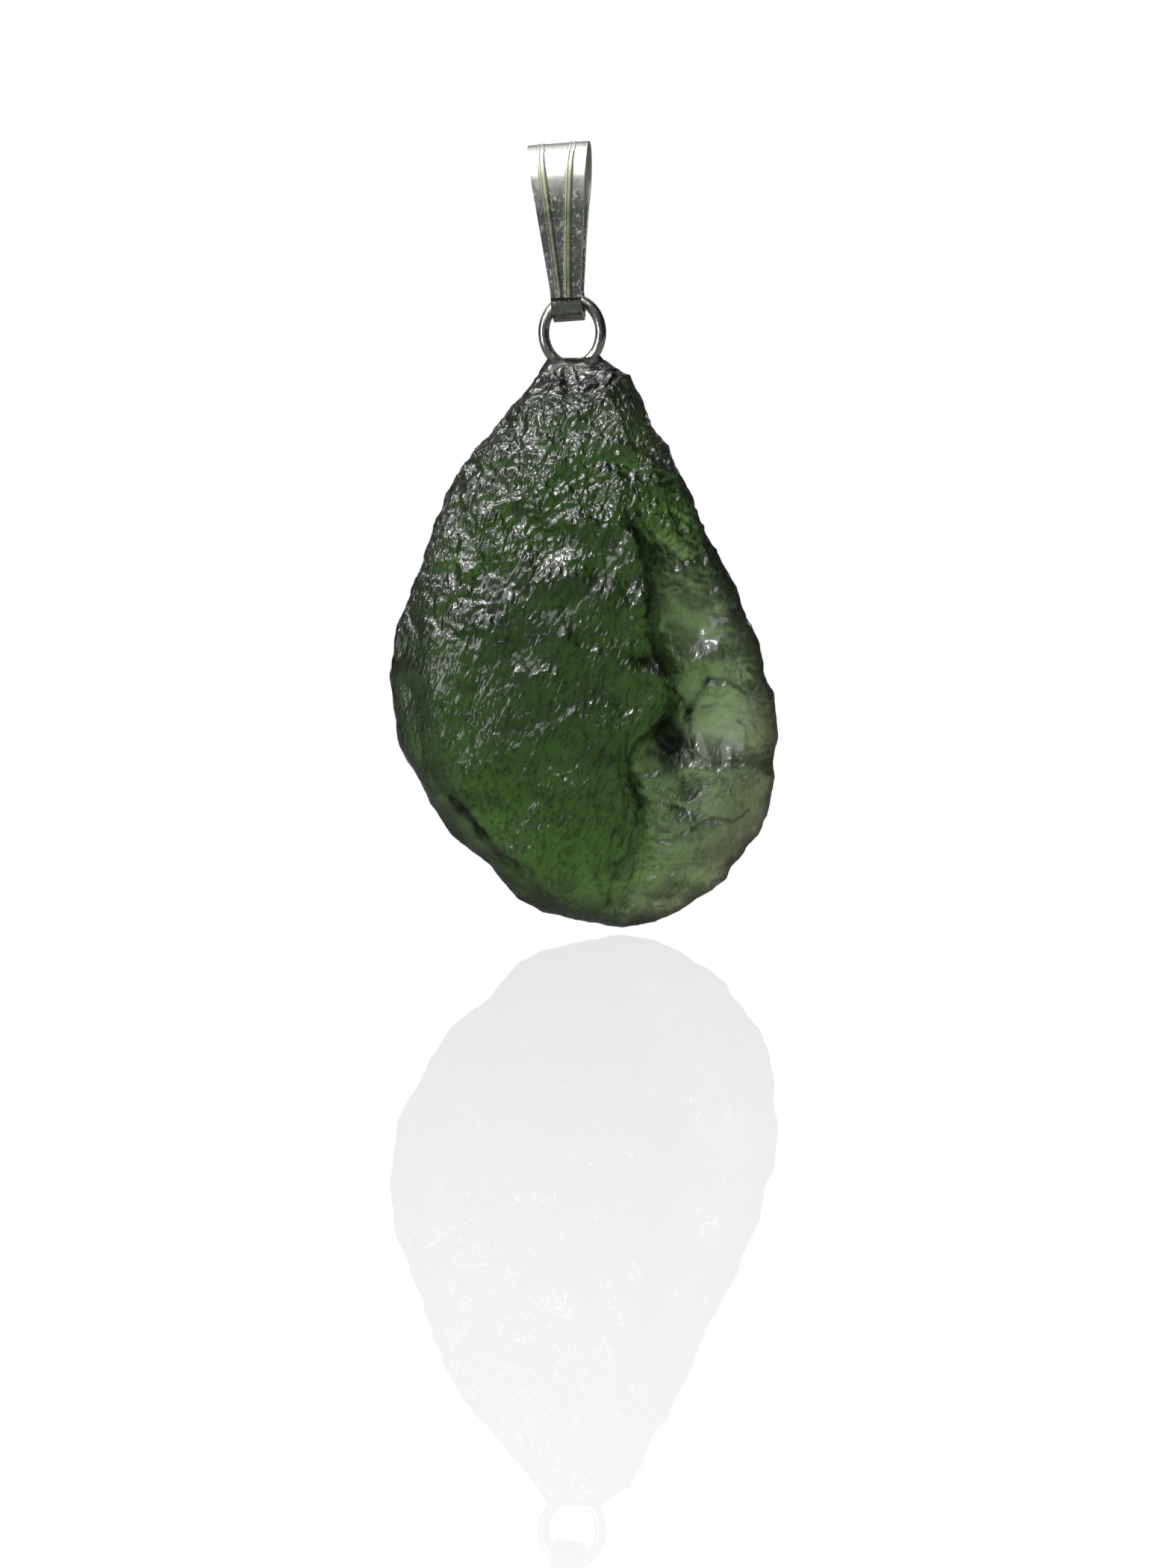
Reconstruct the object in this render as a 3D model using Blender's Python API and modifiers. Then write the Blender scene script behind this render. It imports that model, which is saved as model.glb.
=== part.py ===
"""A raw moldavite pendant: a pear-shaped natural glass stone hung from a silver ring and a fluted bail.

Frame: metres, +Z up. The origin is the chain seat, the inside of the bail's top fold, where a chain
runs from side to side along X. The front of the pendant faces -Y.
"""

import math

import bmesh
import bpy
from mathutils import Matrix, Vector, noise
from mathutils.geometry import interpolate_bezier

MM = 0.001

# Bail: a strip of sheet, folded over at the top and closed round the ring at the bottom.
SHEET = 0.25 * MM
BAIL_LENGTH = 10.48 * MM  # outside, from the fold's top to the eye's bottom
FOLD_DEPTH = 2.9 * MM  # outside, front to back
FOLD_RISE = 2.2 * MM  # from the fold's top down to where it is deepest
FOLD_WIDTH = 3.61 * MM
EYE_WIDTH = 1.78 * MM
EYE_BORE = 1.50 * MM  # inside diameter of the rounded eye that holds the ring
EYE_SHOULDER = math.radians(40)  # how far up its sides the eye stays round
PINCH = 0.5 * MM  # how far behind the ring's plane the back leg's middle comes in above the eye
PINCH_ABOVE_EYE = 1.45 * MM
GROOVE_DEPTH = 0.06 * MM
RIB_WIDTH = 0.42 * MM  # each rib is a fine bead between two pressed grooves
RIBS = ((-0.57, -0.47), (0.48, 0.18))  # each rib's place at the fold and at the eye, in half widths
BAIL_LEAN = math.radians(-3.3)  # about Y: the bail's top leans to the left
BAIL_TURN = math.radians(-8.0)  # about the bail's own length: its right edge comes forward

# Ring: an oval of round wire, standing in the plane of the stone.
WIRE = 0.68 * MM
RING_WIDTH = 4.0 * MM
RING_HEIGHT = 4.57 * MM
RING_CENTRE = Vector((0.76, 0.0, -10.87)) * MM

# Stone: its outline seen from the front, in millimetres from STONE_CENTRE, clockwise from the tip.
STONE_CENTRE = Vector((1.62, 0.0, -30.73)) * MM
OUTLINE = (
    (0.3, 17.9), (1.1, 18.3), (1.9, 17.8), (2.7, 16.9), (3.45, 15.5), (4.0, 14.1),
    (4.8, 12.9), (5.4, 11.5), (6.1, 10.1), (6.8, 8.8), (7.3, 7.6), (7.9, 6.4),
    (8.9, 4.9), (9.3, 3.6), (9.8, 2.6), (10.4, 1.0), (10.6, -0.4), (11.1, -1.3),
    (11.3, -2.9), (11.45, -3.9), (11.0, -5.0), (11.1, -6.4), (10.8, -8.2), (10.4, -9.0),
    (10.3, -9.6), (9.5, -10.3), (9.2, -11.1), (8.5, -11.6), (8.2, -12.3), (7.6, -12.9),
    (6.4, -13.6), (5.4, -14.3), (4.1, -14.85), (2.1, -15.2), (0.4, -14.8), (-1.2, -14.5),
    (-2.6, -14.2), (-4.1, -13.4), (-5.3, -12.1), (-5.5, -11.5), (-6.5, -10.9), (-7.6, -10.0),
    (-8.7, -8.7), (-9.3, -7.8), (-9.9, -6.4), (-10.7, -5.0), (-11.2, -3.6), (-11.45, -1.4),
    (-11.65, -0.5), (-11.4, 0.9), (-11.4, 2.1), (-11.1, 3.1), (-10.6, 3.6), (-10.3, 4.9),
    (-9.6, 6.4), (-9.0, 8.6), (-8.4, 10.1), (-7.6, 11.6), (-6.3, 13.3), (-5.0, 14.6),
    (-4.4, 15.5), (-3.6, 16.6), (-2.8, 17.6), (-1.2, 17.85),
)
FRONT_SWELL = 3.95 * MM  # the front's height above the rim's plane where it is thickest
BACK_SWELL = 3.7 * MM
RIM_BLUNT = 4.2  # a higher number keeps the thickness further out and makes the rim blunter
RIM_RELIEF = 0.4  # how much of the etched relief is left at the rim, where the outline has its own steps
REST_SPOT = (-0.3, -0.6)  # where the back is smooth and stands out most, in millimetres from the centre
REST_PLANE = 3.6 * MM  # behind the ring's plane: a small flat there, on which the stone can lie
STONE_FACES = 5550

# Resin: a smooth blob over the tip, set round the ring's foot.
BLOB_CENTRE = Vector((RING_CENTRE.x + 0.05 * MM, 0.0, -13.0 * MM))
BLOB_REACH = Vector((1.98, 1.15, 0.78)) * MM  # half its length, depth and height
BLOB_RISES = ((-1.2, 0.22, 0.45), (1.45, 0.45, 0.5))  # where it climbs the wire: x, height, reach in mm
GAP = 0.05 * MM  # between pieces that are in contact

SILVER = (0.80, 0.79, 0.76, 1.0)
MOLDAVITE = (0.10, 0.20, 0.07, 1.0)
RESIN = (0.16, 0.15, 0.10, 1.0)


def clear_scene():
    for obj in list(bpy.data.objects):
        bpy.data.objects.remove(obj)


def make_collection(name):
    collection = bpy.data.collections.new(name)
    bpy.context.scene.collection.children.link(collection)
    return collection


def make_material(name, colour, roughness, metallic, transmission=0.0):
    material = bpy.data.materials.new(name)
    material.use_nodes = True
    shader = material.node_tree.nodes["Principled BSDF"]
    shader.inputs["Base Color"].default_value = colour
    shader.inputs["Roughness"].default_value = roughness
    shader.inputs["Metallic"].default_value = metallic
    shader.inputs["Transmission Weight"].default_value = transmission
    return material


def make_object(name, bm, collection, material=None):
    mesh = bpy.data.meshes.new(name)
    bm.to_mesh(mesh)
    bm.free()
    obj = bpy.data.objects.new(name, mesh)
    collection.objects.link(obj)
    if material:
        mesh.materials.append(material)
    return obj


def curve_to_mesh(curve, name, collection):
    """A closed mesh object in place of a bevelled curve."""
    bpy.context.view_layer.update()
    graph = bpy.context.evaluated_depsgraph_get()
    bm = bmesh.new()
    bm.from_mesh(bpy.data.meshes.new_from_object(curve.evaluated_get(graph)))
    bmesh.ops.remove_doubles(bm, verts=bm.verts, dist=1e-6)
    bmesh.ops.recalc_face_normals(bm, faces=bm.faces)
    solid = make_object(name, bm, collection)
    solid.matrix_world = curve.matrix_world
    bpy.data.objects.remove(curve)
    return solid


def hide_helper(obj):
    obj.hide_render = True
    obj.display_type = "WIRE"


def add_boolean(obj, other, operation):
    modifier = obj.modifiers.new(operation.title(), "BOOLEAN")
    modifier.operation = operation
    modifier.object = other
    modifier.solver = "EXACT"


def smoothstep(low, high, value):
    share = min(max((value - low) / (high - low), 0.0), 1.0)
    return share * share * (3 - 2 * share)


# Bail


def bail_rotation():
    """How the bail hangs: turned about its own length, then leaning sideways."""
    return Matrix.Rotation(BAIL_LEAN, 3, "Y") @ Matrix.Rotation(BAIL_TURN, 3, "Z")


def eye_centre():
    """The middle of the eye in the bail's own frame."""
    return Vector((0.0, 0.0, 2 * SHEET + EYE_BORE / 2 - BAIL_LENGTH))


def bail_profile():
    """The middle of the sheet seen from the side, as (y, z) all round: up the back leg, down the front leg."""
    half_depth = (FOLD_DEPTH - SHEET) / 2
    fold_z = SHEET - FOLD_RISE
    eye_z = eye_centre().z
    eye_radius = (EYE_BORE + SHEET) / 2
    side = Vector((half_depth, fold_z))
    pinch = Vector((PINCH, eye_z + PINCH_ABOVE_EYE))
    shoulder = Vector((math.cos(EYE_SHOULDER), math.sin(EYE_SHOULDER))) * eye_radius + Vector((0, eye_z))
    round_eye = Vector((math.sin(EYE_SHOULDER), -math.cos(EYE_SHOULDER)))
    down = Vector((0.0, -1.0))
    fold = []
    for i in range(8):
        turn = math.radians(90 * i / 7)
        fold.append(Vector((half_depth * math.sin(turn), fold_z + (FOLD_RISE - SHEET / 2) * math.cos(turn))))
    leg = interpolate_bezier(side, side + 0.6 * MM * down, pinch - 4.6 * MM * down, pinch, 8)
    neck = interpolate_bezier(pinch, pinch + 0.35 * MM * down, shoulder - 0.35 * MM * round_eye, shoulder, 4)
    back = fold + leg[1:] + neck[1:]
    for i in range(1, 8):
        turn = EYE_SHOULDER - (EYE_SHOULDER + math.radians(90)) * i / 7
        back.append(Vector((math.cos(turn), math.sin(turn))) * eye_radius + Vector((0, eye_z)))
    eye_side = Vector((eye_radius, eye_z))
    front = fold + interpolate_bezier(side, side + 0.9 * MM * down, eye_side - 1.6 * MM * down, eye_side, 9)[1:]
    for i in range(1, 5):
        turn = -math.radians(90) * i / 5
        front.append(Vector((math.cos(turn), math.sin(turn))) * eye_radius + Vector((0, eye_z)))
    return back[:0:-1] + [Vector((-p.x, p.y)) for p in front]


def bail_section(z):
    """(x, height over the sheet) across the strip from left to right, at a height z."""
    pinch_z = eye_centre().z + PINCH_ABOVE_EYE / 2
    down = min(max(z / pinch_z, 0.0), 1.0)
    half_width = (FOLD_WIDTH + (EYE_WIDTH - FOLD_WIDTH) * down) / 2
    pressed = GROOVE_DEPTH * smoothstep(eye_centre().z + 0.6 * MM, pinch_z + 0.7 * MM, z)
    stations = [(-half_width, 0.0)]
    for at_fold, at_eye in RIBS:
        middle = (at_fold + (at_eye - at_fold) * down) * half_width
        for place, height in ((-0.5, 0.0), (-0.28, -1.0), (0.0, 0.6), (0.28, -1.0), (0.5, 0.0)):
            stations.append((middle + place * RIB_WIDTH, height * pressed))
    stations.append((half_width, 0.0))
    return stations


def build_bail(collection, material):
    profile = bail_profile()
    rows = len(profile)
    columns = len(bail_section(0.0))
    bm = bmesh.new()
    bmesh.ops.create_grid(bm, x_segments=columns - 1, y_segments=rows, size=1.0)
    for vert in bm.verts:
        column = round((vert.co.x + 1) / 2 * (columns - 1))
        row = round((vert.co.y + 1) / 2 * rows) % rows
        y, z = profile[row]
        along = (profile[(row + 1) % rows] - profile[row - 1]).normalized()
        x, height = bail_section(z)[column]
        vert.co = Vector((x, y - along.y * height, z + along.x * height))
    bmesh.ops.remove_doubles(bm, verts=bm.verts, dist=1e-6)
    bmesh.ops.recalc_face_normals(bm, faces=bm.faces)
    bail = make_object("bail", bm, collection, material)
    bail.rotation_euler = bail_rotation().to_euler()
    solidify = bail.modifiers.new("Sheet", "SOLIDIFY")
    solidify.thickness = SHEET
    solidify.offset = 0.0
    solidify.use_even_offset = True
    bail.data.shade_smooth()
    bail.data.set_sharp_from_angle(angle=math.radians(30))
    return bail


# Ring


def build_ring(name, thickness, collection, material=None):
    """A closed oval curve with a round bevel."""
    bpy.ops.curve.primitive_bezier_circle_add(radius=(RING_WIDTH - WIRE) / 2)
    ring = bpy.context.object
    ring.name = name
    for owner in list(ring.users_collection):
        owner.objects.unlink(ring)
    collection.objects.link(ring)
    ring.rotation_euler = (math.radians(90), 0, 0)
    ring.location = RING_CENTRE
    stretch = (RING_HEIGHT - WIRE) / (RING_WIDTH - WIRE)
    for point in ring.data.splines[0].bezier_points:
        point.handle_left_type = point.handle_right_type = "FREE"
        for corner in (point.co, point.handle_left, point.handle_right):
            corner.y *= stretch
    ring.data.resolution_u = 12
    ring.data.bevel_depth = thickness / 2
    ring.data.bevel_resolution = 3
    if material:
        ring.data.materials.append(material)
    return ring


# Stone


def rim_radius(direction):
    """The outline's distance from the stone's centre in a direction (x, z)."""
    for start, end in zip(OUTLINE, OUTLINE[1:] + OUTLINE[:1]):
        ahead = start[0] * direction.y - start[1] * direction.x
        behind = end[0] * direction.y - end[1] * direction.x
        if ahead <= 0 < behind and start[0] * direction.x + start[1] * direction.y > 0:
            share = ahead / (ahead - behind)
            return (Vector(start).lerp(Vector(end), share)).length
    return 0.0


def bump(x, z, at, reach):
    """A soft rise of height 1 at a place, with its half-widths in x and z."""
    return math.exp(-(((x - at[0]) / reach[0]) ** 2) - ((z - at[1]) / reach[1]) ** 2)


def ledge_x(z):
    """Where the front's high side ends on the right, at a height z, in millimetres."""
    corners = ((12.0, 2.4), (8.0, 2.7), (5.6, 3.6), (1.0, 3.6), (-0.4, 4.6), (-2.5, 4.6), (-4.4, 2.4))
    corners += ((-6.0, 1.8), (-8.2, 2.8), (-11.0, 2.4), (-14.0, 1.4))
    for (z0, x0), (z1, x1) in zip(corners, corners[1:]):
        if z >= z1:
            return x0 + (x1 - x0) * min(max((z0 - z) / (z0 - z1), 0.0), 1.0)
    return corners[-1][1]


def front_height(x, z):
    """Relative height of the front over the rim's plane: the high side, the right terrace and the dishes."""
    height = 0.92 + 0.12 * bump(x, z, (-2.5, 0.0), (5.5, 9.0))
    terrace = smoothstep(0.0, 1.1, x - ledge_x(z)) * smoothstep(12.0, 5.5, z)
    height -= 0.42 * terrace
    height -= 0.16 * bump(x, z, (7.8, -3.1), (1.9, 1.9))
    height -= 0.16 * bump(x, z, (5.7, -3.4), (0.7, 1.7))
    height -= 0.16 * bump(x, z, (6.1, -7.0), (0.7, 0.9))
    height -= 0.10 * bump(x, z, (6.2, 3.0), (1.6, 1.9))
    height += 0.08 * bump(x, z, (9.9, -3.4), (1.0, 2.4))
    height += 0.08 * bump(x, z, (-1.6, 14.2), (2.0, 1.4))
    height -= 0.10 * bump(x, z, (1.0, 11.5), (1.3, 2.4))
    height += 0.08 * bump(x, z, (-5.4, 10.6), (1.8, 2.6))
    height -= 0.10 * bump(x, z, (-2.4, 7.6), (2.4, 1.2))
    flange = smoothstep(0.7, -0.5, (x + 6.9) * 0.68 + (z + 9.6) * 0.73)
    height -= 0.34 * flange
    height -= 0.26 * smoothstep(0.6, -0.6, x + 9.7) * smoothstep(5.0, 3.4, abs(z))
    return height


def back_height(x, z):
    """Relative height of the back: low swells with four wide dishes."""
    height = 0.94 + 0.08 * bump(x, z, REST_SPOT, (3.4, 3.8))
    height -= 0.24 * bump(x, z, (-5.2, 7.0), (2.8, 3.4))
    height -= 0.20 * bump(x, z, (4.6, 8.0), (2.2, 3.2))
    height -= 0.22 * bump(x, z, (6.6, -5.5), (2.6, 3.6))
    height -= 0.16 * bump(x, z, (-3.4, -8.4), (3.4, 2.4))
    return height


def stone_surface(direction):
    """The point of the smooth stone in a direction from its middle, in millimetres."""
    reach = math.hypot(direction.x, direction.z)
    rim = rim_radius(Vector((direction.x, direction.z)))
    x = rim * direction.x
    z = rim * direction.z
    if reach < 1e-6:
        x = z = 0.0
    roundness = math.sqrt(max(1 - reach**RIM_BLUNT, 0.0)) * smoothstep(20.2, 15.0, z) ** 0.5
    if direction.y < 0:
        return Vector((x, -FRONT_SWELL / MM * front_height(x, z) * roundness, z))
    return Vector((x, BACK_SWELL / MM * back_height(x, z) * roundness, z))


def weathering(point):
    """Height of the etched relief at a point in millimetres: lumps, cupped pits and upright furrows."""
    pitted = smoothstep(3.0, 10.0, point.z + 0.4 * abs(point.x))
    if point.y < 0:
        smooth = bump(point.x, point.z, (7.8, -3.1), (2.2, 2.2))
        rough = 0.40 + 0.80 * pitted - 0.38 * smooth
    else:
        smooth = bump(point.x, point.z, REST_SPOT, (4.2, 4.6))
        rough = 0.70 + 0.60 * pitted - 0.80 * smooth
    lumps = noise.noise(point * 0.42 + Vector((3.1, 7.7, 1.3)))
    cups = min(noise.voronoi(Vector((point.x, point.y, point.z * 0.8)) * 0.58)[0][0], 0.85) - 0.52
    furrows = noise.noise(Vector((point.x * 1.3 + point.z * 0.3, point.y * 1.3, point.z * 0.4)))
    grain = noise.noise(point * 1.7)
    return 0.20 * (1 - smooth) * lumps + rough * (0.50 * cups + 0.18 * furrows + 0.12 * grain)


def build_stone(collection, material):
    bm = bmesh.new()
    bmesh.ops.create_icosphere(bm, subdivisions=7, radius=1.0)
    for vert in bm.verts:
        vert.co = stone_surface(vert.co)
    bm.normal_update()
    for vert, normal in [(vert, vert.normal.copy()) for vert in bm.verts]:
        relief = weathering(vert.co) * (RIM_RELIEF + (1 - RIM_RELIEF) * abs(normal.y))
        vert.co = (vert.co + normal * relief) * MM
    stone = make_object("stone", bm, collection, material)
    stone.location = STONE_CENTRE
    decimate = stone.modifiers.new("Facets", "DECIMATE")
    decimate.ratio = STONE_FACES / len(stone.data.polygons)
    return stone


def make_rest_cutter(collection):
    """A block behind the stone, whose front face leaves the small flat on its back."""
    bm = bmesh.new()
    bmesh.ops.create_cube(bm, size=40 * MM)
    block = make_object("rest_cutter", bm, collection)
    block.location = (STONE_CENTRE.x, REST_PLANE + 20 * MM, STONE_CENTRE.z)
    hide_helper(block)
    return block


# Resin


def make_blob(name, grow, collection, material=None):
    """The resin's smooth outside, made larger all round by grow."""
    bm = bmesh.new()
    bmesh.ops.create_uvsphere(bm, u_segments=24, v_segments=12, radius=1.0)
    for vert in bm.verts:
        place = Vector([vert.co[k] * (BLOB_REACH[k] + grow) for k in range(3)])
        for x, height, reach in BLOB_RISES:
            climb = bump(place.x / MM, place.y / MM, (x, 0.0), (reach, reach))
            place.z += max(vert.co.z, 0.0) * height * MM * climb
        vert.co = place
    bmesh.ops.triangulate(bm, faces=bm.faces)
    blob = make_object(name, bm, collection, material)
    blob.location = BLOB_CENTRE
    return blob


def build_adhesive(collection, cutters, material):
    adhesive = make_blob("adhesive", 0.0, collection, material)
    wire = build_ring("ring_clearance", WIRE + 2 * GAP, cutters)
    channel = curve_to_mesh(wire, "ring_channel", cutters)
    hide_helper(channel)
    add_boolean(adhesive, channel, "DIFFERENCE")
    return adhesive


def main():
    clear_scene()
    pendant = make_collection("moldavite_pendant")
    cutters = make_collection("cutters")
    silver = make_material("silver", SILVER, 0.22, 1.0)
    glass = make_material("moldavite", MOLDAVITE, 0.15, 0.0, transmission=0.8)
    resin = make_material("resin", RESIN, 0.2, 0.0, transmission=0.5)
    build_bail(pendant, silver)
    ring = build_ring("ring", WIRE, pendant, silver)
    adhesive = build_adhesive(pendant, cutters, resin)
    stone = build_stone(pendant, glass)
    pocket = make_blob("pocket", GAP, cutters)
    hide_helper(pocket)
    add_boolean(stone, pocket, "DIFFERENCE")
    add_boolean(stone, make_rest_cutter(cutters), "DIFFERENCE")
    swing = bpy.data.objects.new("pendant_swing", None)
    pendant.objects.link(swing)
    swing.empty_display_size = 2 * MM
    swing.location = bail_rotation() @ eye_centre()
    for piece in (ring, adhesive, stone):
        piece.parent = swing
        piece.location -= swing.location


main()
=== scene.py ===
"""Dresses the raw moldavite pendant: the etched green stone, the set resin, the wire ring and the bail.

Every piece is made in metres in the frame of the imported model. The front of the pendant faces -Y.
"""

import math

import bmesh
import bpy
from bpy.props import FloatProperty, FloatVectorProperty, PointerProperty
from bpy.types import Operator, Panel, PropertyGroup
from mathutils import Matrix, Vector, noise
from mathutils.geometry import interpolate_bezier


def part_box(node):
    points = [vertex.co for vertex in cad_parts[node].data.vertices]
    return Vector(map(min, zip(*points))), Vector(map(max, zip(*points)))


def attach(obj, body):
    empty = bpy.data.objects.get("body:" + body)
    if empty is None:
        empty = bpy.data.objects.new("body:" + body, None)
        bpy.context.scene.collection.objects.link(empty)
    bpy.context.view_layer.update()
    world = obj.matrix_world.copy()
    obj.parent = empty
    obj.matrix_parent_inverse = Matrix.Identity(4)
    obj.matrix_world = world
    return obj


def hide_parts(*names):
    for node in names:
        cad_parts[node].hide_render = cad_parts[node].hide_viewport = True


bl_info = {
    "name": "Raw moldavite pendant",
    "version": (1, 0, 0),
    "blender": (4, 5, 0),
    "location": "View3D > Sidebar > Pendant",
    "description": "Makes a raw moldavite stone hung from a wire ring and a fluted bail",
    "category": "Object",
}

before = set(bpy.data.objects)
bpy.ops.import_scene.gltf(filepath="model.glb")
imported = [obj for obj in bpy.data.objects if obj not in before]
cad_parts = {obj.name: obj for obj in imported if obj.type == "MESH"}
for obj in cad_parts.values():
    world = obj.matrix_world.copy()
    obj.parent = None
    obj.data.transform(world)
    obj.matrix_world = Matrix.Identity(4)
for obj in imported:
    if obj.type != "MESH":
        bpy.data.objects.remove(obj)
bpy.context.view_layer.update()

MM = 0.001
STONE_MIDDLE = Vector((1.62, 0.0, -30.73))  # the relief's own middle, in millimetres
SWING_BODY = "pendant"
BAIL_BODY = "bail"
TRIANGLE_LIMIT = 198000

# The bail's shape in millimetres, from the same values as its solid.
SHEET = 0.25
BAIL_LENGTH = 10.48
FOLD_DEPTH = 2.9
FOLD_RISE = 2.2
FOLD_WIDTH = 3.61
EYE_WIDTH = 1.78
EYE_BORE = 1.50
EYE_SHOULDER = math.radians(40)
PINCH = 0.5
PINCH_ABOVE_EYE = 1.45
EYE_Z = 2 * SHEET + EYE_BORE / 2 - BAIL_LENGTH
RIBS = ((-0.57, -0.47), (0.48, 0.18))  # middles at the fold and the eye, in shares of half the width
BAIL_LEAN = math.radians(-3.3)
BAIL_TURN = math.radians(-8.0)


# Settings


class StoneSettings(PropertyGroup):
    """Size of the stone's relief and the glass it is made of."""

    mesh_size: FloatProperty(
        name="Mesh size", description="Distance between the vertices at the stone's back, half that in front",
        default=0.222 * MM, min=0.1 * MM, unit="LENGTH", precision=5,
    )
    pit_depth: FloatProperty(
        name="Pit depth", description="Depth of the largest etched pits",
        default=0.34 * MM, min=0.0, unit="LENGTH", precision=5,
    )
    glass_index: FloatProperty(
        name="Refraction", description="Refractive index of the natural glass", default=1.49, min=1.0,
    )
    glass_colour: FloatVectorProperty(
        name="Glass colour", description="Colour that light takes on inside the glass",
        subtype="COLOR", size=3, min=0.0, max=1.0, default=(0.186, 0.376, 0.046),
    )
    glass_density: FloatProperty(
        name="Glass density", description="How strongly the glass takes up light, per metre", default=490.0,
    )
    rind_colour: FloatVectorProperty(
        name="Rind colour", description="Tint of the weathered rim",
        subtype="COLOR", size=3, min=0.0, max=1.0, default=(0.62, 0.55, 0.47),
    )


class SilverSettings(PropertyGroup):
    """Colours and finish of the ring and the bail."""

    silver_colour: FloatVectorProperty(
        name="Silver", description="Colour of the clean silver",
        subtype="COLOR", size=3, min=0.0, max=1.0, default=(0.90, 0.89, 0.86),
    )
    tarnish_colour: FloatVectorProperty(
        name="Tarnish", description="Colour of the tarnish in grooves and scratches",
        subtype="COLOR", size=3, min=0.0, max=1.0, default=(0.20, 0.18, 0.16),
    )
    groove_depth: FloatProperty(
        name="Groove depth", description="Depth of the bail's pressed grooves",
        default=0.068 * MM, min=0.0, unit="LENGTH", precision=5,
    )
    rib_width: FloatProperty(
        name="Rib width", description="Width of each rib with its two grooves",
        default=0.42 * MM, min=0.0, unit="LENGTH", precision=5,
    )


class ResinSettings(PropertyGroup):
    """The set resin round the ring's foot."""

    resin_colour: FloatVectorProperty(
        name="Resin colour", description="Colour that light takes on inside the resin",
        subtype="COLOR", size=3, min=0.0, max=1.0, default=(0.42, 0.31, 0.20),
    )
    resin_density: FloatProperty(
        name="Resin density", description="How strongly the resin takes up light, per metre", default=3000.0,
    )


class StageSettings(PropertyGroup):
    """The plain floor, the soft lights and the camera."""

    key_strength: FloatProperty(
        name="Key light", description="Brightness of the small light above and in front", default=34.0,
    )
    soft_strength: FloatProperty(
        name="Soft light", description="Brightness of the large soft light high in front", default=1.3,
    )
    side_strength: FloatProperty(
        name="Side light", description="Brightness of the soft light on the left", default=3.4,
    )
    room_colour: FloatVectorProperty(
        name="Room colour", description="What the front of the pendant mirrors between the lights",
        subtype="COLOR", size=3, min=0.0, max=1.0, default=(0.066, 0.078, 0.066),
    )
    camera_distance: FloatProperty(
        name="Camera distance", description="From the camera to the pendant",
        default=256 * MM, min=0.0, unit="LENGTH",
    )
    camera_lens: FloatProperty(
        name="Lens", description="Focal length", default=100.0, min=1.0, subtype="DISTANCE_CAMERA",
    )


# Small helpers


def smoothstep(low, high, value):
    share = min(max((value - low) / (high - low), 0.0), 1.0)
    return share * share * (3 - 2 * share)


def bump(x, z, at, reach):
    """A soft rise of height 1 at a place, with its half-widths in x and z."""
    return math.exp(-(((x - at[0]) / reach[0]) ** 2) - ((z - at[1]) / reach[1]) ** 2)


def drift(place):
    """Which way the surface wanders at a place, the same on every run."""
    shifts = ((3.1, 0.0, 8.2), (17.3, 5.5, 0.0), (0.0, 29.7, 4.4))
    return Vector([noise.noise(place + Vector(shift)) for shift in shifts])


def stretched(place, stretch):
    return Vector([place[k] * stretch[k] for k in range(3)])


def mesh_object(name, bm, material):
    mesh = bpy.data.meshes.new(name)
    bm.to_mesh(mesh)
    bm.free()
    mesh.materials.append(material)
    mesh.shade_smooth()
    obj = bpy.data.objects.new(name, mesh)
    bpy.context.scene.collection.objects.link(obj)
    return obj


def applied(obj):
    """The object's mesh with its modifiers worked in, as a new mesh."""
    bpy.context.view_layer.update()
    graph = bpy.context.evaluated_depsgraph_get()
    return bpy.data.meshes.new_from_object(obj.evaluated_get(graph))


def node(tree, kind, **settings):
    made = tree.nodes.new(kind)
    for key, value in settings.items():
        setattr(made, key, value)
    return made


def feed(tree, socket, value):
    """Puts a number, a colour or another node's output into a socket."""
    if isinstance(value, bpy.types.NodeSocket):
        tree.links.new(value, socket)
    else:
        socket.default_value = value


def sums(tree, operation, *values, clamp=False):
    made = node(tree, "ShaderNodeMath", operation=operation, use_clamp=clamp)
    for socket, value in zip(made.inputs, values):
        feed(tree, socket, value)
    return made.outputs[0]


def ramp(tree, value, low, high, to_low=0.0, to_high=1.0):
    """A soft change from one number to another while value runs from low to high."""
    made = node(tree, "ShaderNodeMapRange", interpolation_type="SMOOTHSTEP")
    for socket, entry in zip(made.inputs, (value, low, high, to_low, to_high)):
        feed(tree, socket, entry)
    return made.outputs[0]


def mixed(tree, share, first, second):
    made = node(tree, "ShaderNodeMix", data_type="RGBA")
    feed(tree, made.inputs[0], share)
    feed(tree, made.inputs[6], first)
    feed(tree, made.inputs[7], second)
    return made.outputs[2]


def scaled(tree, vector, scale):
    made = node(tree, "ShaderNodeVectorMath", operation="MULTIPLY")
    feed(tree, made.inputs[0], vector)
    made.inputs[1].default_value = scale
    return made.outputs[0]


def turned(tree, vector, angle):
    """A vector turned about the Y axis."""
    made = node(tree, "ShaderNodeVectorRotate", rotation_type="Y_AXIS")
    feed(tree, made.inputs["Vector"], vector)
    made.inputs["Angle"].default_value = angle
    return made.outputs[0]


def length(tree, vector):
    made = node(tree, "ShaderNodeVectorMath", operation="LENGTH")
    feed(tree, made.inputs[0], vector)
    return made.outputs["Value"]


def apart(tree, vector):
    """The x, y and z of a vector."""
    made = node(tree, "ShaderNodeSeparateXYZ")
    feed(tree, made.inputs[0], vector)
    return made.outputs


def painted(tree, name):
    """A share from 0 to 1 that the mesh carries at its points."""
    return node(tree, "ShaderNodeAttribute", attribute_name=name).outputs["Fac"]


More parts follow.
